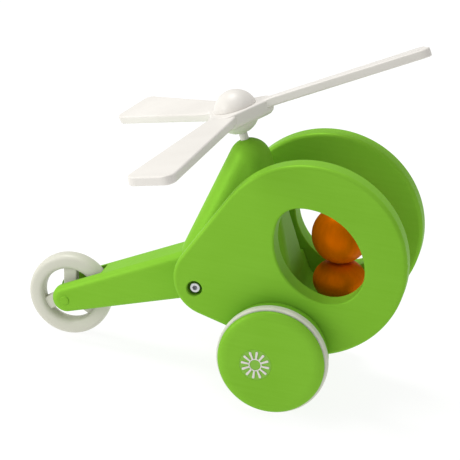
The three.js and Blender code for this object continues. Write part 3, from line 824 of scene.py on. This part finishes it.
def blade_section(x, half, thin):
    """A ring of points across a blade at x, with rounded corners, turned by the blade's pitch."""
    top = BLADE.half_thick - thin
    r = BLADE.edge
    pitch = -math.radians(BLADE.pitch) * smoothstep(BLADE.level_to, BLADE.pitched_from, x)
    ring = []
    for y, z, start in ((half - r, top - r, 0), (r - half, top - r, 90),
                        (r - half, r - top, 180), (half - r, r - top, 270)):
        for k in range(7):
            a = math.radians(start + 15 * k)
            aside, up = y + r * math.cos(a), z + r * math.sin(a)
            ring.append((x, aside * math.cos(pitch) - up * math.sin(pitch),
                         aside * math.sin(pitch) + up * math.cos(pitch) - BLADE.drop))
    return ring


def blade():
    """One blade along x from inside the hub; its tip has rounded corners and softened edges."""
    shell = Shell()
    tip_start = ROTOR.tip - BLADE.corner
    rings = []
    x = BLADE.start
    while x < tip_start - 0.1:
        rings.append(shell.ring(blade_section(x, straight_half(x), 0)))
        x += 1 if x < BLADE.pitched_from else 5
    for from_tip in TIP_STATIONS:
        half = bend(straight_half(tip_start), BLADE.half_tip, BLADE.half_tip - BLADE.corner,
                    1 - math.sqrt(from_tip / BLADE.corner))
        short = max(BLADE.edge - from_tip, 0)
        thin = BLADE.edge - math.sqrt(BLADE.edge ** 2 - short ** 2)
        rings.append(shell.ring(blade_section(ROTOR.tip - from_tip, half, thin)))
    shell.wall(rings)
    shell.cap(rings[0])
    shell.cap(rings[-1])
    return shell.solid()


def hub_outline(points=216):
    """A disc with a blunt lobe for each blade that runs smoothly out of it."""
    outline = []
    for i in range(points):
        angle = math.tau * i / points
        reach = HUB.r ** HUB.blend
        for k in range(ROTOR.blades):
            off = angle - math.radians(ROTOR.phase + 360 * k / ROTOR.blades)
            if math.cos(off) > 0:
                power = ARM.squareness
                lobe = ((math.cos(off) / ARM.end) ** power
                        + (abs(math.sin(off)) / ARM.half) ** power)
                reach += lobe ** (-HUB.blend / power)
        reach **= 1 / HUB.blend
        outline.append(Vector((reach * math.cos(angle), reach * math.sin(angle))))
    return outline


def rotor():
    """Hub, boss and blades in one, with a bore for the shaft."""
    lying = slab(hub_outline(), -HUB.top, -HUB.bottom, (HUB.upper_edge, HUB.lower_edge), steps=10)
    hub = moved(lying, ALONG_Y)
    boss = rod(HUB.boss, HUB.boss_bottom, HUB.top - 1, edge=HUB.boss_edge)
    blades = copies(blade(), turns(ROTOR.blades, "Z", ROTOR.phase))
    return cut(join(hub, boss, *blades), rod(HUB.bore, HUB.boss_bottom - 1, HUB.top + 1))


def ball_side(r, low, high, steps):
    """Points (radius, height) up the side of a ball round the rotor's centre."""
    return bead(r, r, 0, low, high, steps)


def rotor_cap():
    """The dome on the hub, hollow below."""
    inner = ROTOR_CAP.r - ROTOR_CAP.wall
    floor = HUB.top + HUB.seam
    inside = ball_side(inner, floor, inner, 16)[::-1]
    outside = ball_side(ROTOR_CAP.r, floor, ROTOR_CAP.r, 32)
    return turned([(0, inner), *inside[1:], *outside[:-1], (0, ROTOR_CAP.r)])


def rotor_cup():
    """The round cup under the hub, open below for the shaft."""
    top = HUB.bottom - HUB.seam
    inner = CUP.r - CUP.wall
    outside = ball_side(CUP.r, -math.sqrt(CUP.r ** 2 - CUP.mouth ** 2), top, 24)
    inside = ball_side(inner, -math.sqrt(inner ** 2 - CUP.mouth ** 2), top, 16)[::-1]
    return turned([*outside, *inside, outside[0]])


def rotor_shaft():
    """A round bar with a neck that the keeper pin sits in."""
    return turned(rounded([
        (0, SHAFT.bottom), (SHAFT.r, SHAFT.bottom, SHAFT.edge), (SHAFT.r, SHAFT.neck_bottom),
        (SHAFT.neck, SHAFT.neck_bottom), (SHAFT.neck, SHAFT.neck_top), (SHAFT.r, SHAFT.neck_top),
        (SHAFT.r, SHAFT.top, SHAFT.edge), (0, SHAFT.top)]), steps=48)


for rotor_part in (rotor, rotor_cap, rotor_cup, rotor_shaft):
    publish(moved(rotor_part(), ROTOR_PLACE), rotor_part.__name__)
publish(keeper_bar(KEEPER.r, KEEPER.inner, KEEPER.outer, KEEPER.edge), "shaft_keeper")


# ------------------------------------------------------------------ pilot
def pilot_body():
    """The lower bead, cut flat at both ends of its bore."""
    foot, top = PILOT.foot, PILOT.body_top
    side = bead(PILOT.body_r, PILOT.body_h, PILOT.body_at, foot, top, 40)
    return turned([(PEG.bore, foot), *side, (PEG.bore, top), (PEG.bore, foot)], PILOT_PLACE)


def pilot_head():
    """The upper bead, a ball that ends where it meets its own bore."""
    foot = PILOT.head_at - math.sqrt(PILOT.head_r ** 2 - PEG.bore ** 2)
    roof = PILOT.head_at + PILOT.head_r
    side = bead(PILOT.head_r, PILOT.head_r, PILOT.head_at, foot, roof, 56)[:-1]
    return turned([(0, PEG.top + GAP), (PEG.bore, PEG.top + GAP), *side, (0, roof)], PILOT_PLACE)


publish(pilot_body(), "pilot_body")
publish(pilot_head(), "pilot_head")
publish(rod(PEG.r, PEG.bottom, PEG.top, PILOT_PLACE, PEG.edge), "pilot_peg")


# ------------------------------------------------------------------ floor, light and camera
def studio_floor():
    """A plain pale floor that glows a little, as a lit backdrop does."""
    material, tree, shader = principled("studio_floor", Roughness=0.9, Emission_Strength=0.88)
    shader.inputs["Emission Color"].default_value = (1, 1, 1, 1)
    tones(tree, shader, noise(tree, EVEN, 2.0, detail=1.0),
          (0.14, 0.14, 0.14), (0.16, 0.16, 0.16))
    reach = 6.0                                 # metres
    mesh = bpy.data.meshes.new("studio_floor")
    corners = [(-reach, -reach, 0), (reach, -reach, 0), (reach, reach, 0), (-reach, reach, 0)]
    mesh.from_pydata(corners, [], [(0, 1, 2, 3)])
    mesh.materials.append(material)
    floor = as_object(mesh)
    floor.name = "studio_floor"


def direction(azimuth, elevation):
    """The unit vector from the toy towards a place round it. Azimuth 0 is the near side."""
    a, e = math.radians(azimuth), math.radians(elevation)
    return Vector((math.sin(a) * math.cos(e), -math.cos(a) * math.cos(e), math.sin(e)))


def hang(name, lamp, back, distance):
    """Puts a lamp at a distance from the toy's middle, facing it."""
    low, high = cad_box
    holder = bpy.data.objects.new(name, lamp)
    holder.location = (low + high) / 2 + back * distance
    holder.rotation_euler = back.to_track_quat("Z", "Y").to_euler()
    bpy.context.scene.collection.objects.link(holder)


def soft_box(name, azimuth, elevation, distance, size, power):
    """A square lamp; size and distance are in metres, power in watts."""
    lamp = bpy.data.lights.new(name, "AREA")
    lamp.size, lamp.energy = size, power
    hang(name, lamp, direction(azimuth, elevation), distance)


def overhead(name, azimuth, elevation, spread_deg, strength):
    """A broad lamp so far off that it lights the floor evenly."""
    lamp = bpy.data.lights.new(name, "SUN")
    lamp.angle, lamp.energy = math.radians(spread_deg), strength
    hang(name, lamp, direction(azimuth, elevation), 2.0)


def daylight(strength):
    """Even white light from all round."""
    world = bpy.data.worlds.new("studio_light")
    world.use_nodes = True
    background = world.node_tree.nodes["Background"]
    background.inputs["Color"].default_value = (1, 1, 1, 1)
    background.inputs["Strength"].default_value = strength
    bpy.context.scene.world = world


def camera(aim, distance, azimuth, elevation, roll, lens):
    """A camera at a distance from the point it aims at, in metres, rolled by some degrees."""
    a, r = math.radians(azimuth), math.radians(roll)
    back = direction(azimuth, elevation)
    level = Vector((math.cos(a), math.sin(a), 0))
    upright = back.cross(level)
    right = math.cos(r) * level + math.sin(r) * upright
    up = -math.sin(r) * level + math.cos(r) * upright
    settings = bpy.data.cameras.new("camera")
    settings.lens, settings.sensor_width = lens, 36
    settings.clip_start, settings.clip_end = 0.01, 50
    made = bpy.data.objects.new("camera", settings)
    turn = Matrix((right, up, back)).transposed().to_4x4()
    made.matrix_world = Matrix.Translation(Vector(aim) + back * distance) @ turn
    bpy.context.scene.collection.objects.link(made)
    bpy.context.scene.camera = made


studio_floor()
daylight(0.5)
soft_box("key_light", azimuth=-60, elevation=15, distance=0.55, size=0.25, power=1.15)
overhead("top_light", azimuth=-110, elevation=66, spread_deg=26, strength=1.9)
camera(aim=(-0.04317, 0, 0.07200), distance=0.89579, azimuth=10.932, elevation=21.666, roll=7.053,
       lens=142.184)
bpy.context.scene.view_settings.view_transform = "Standard"
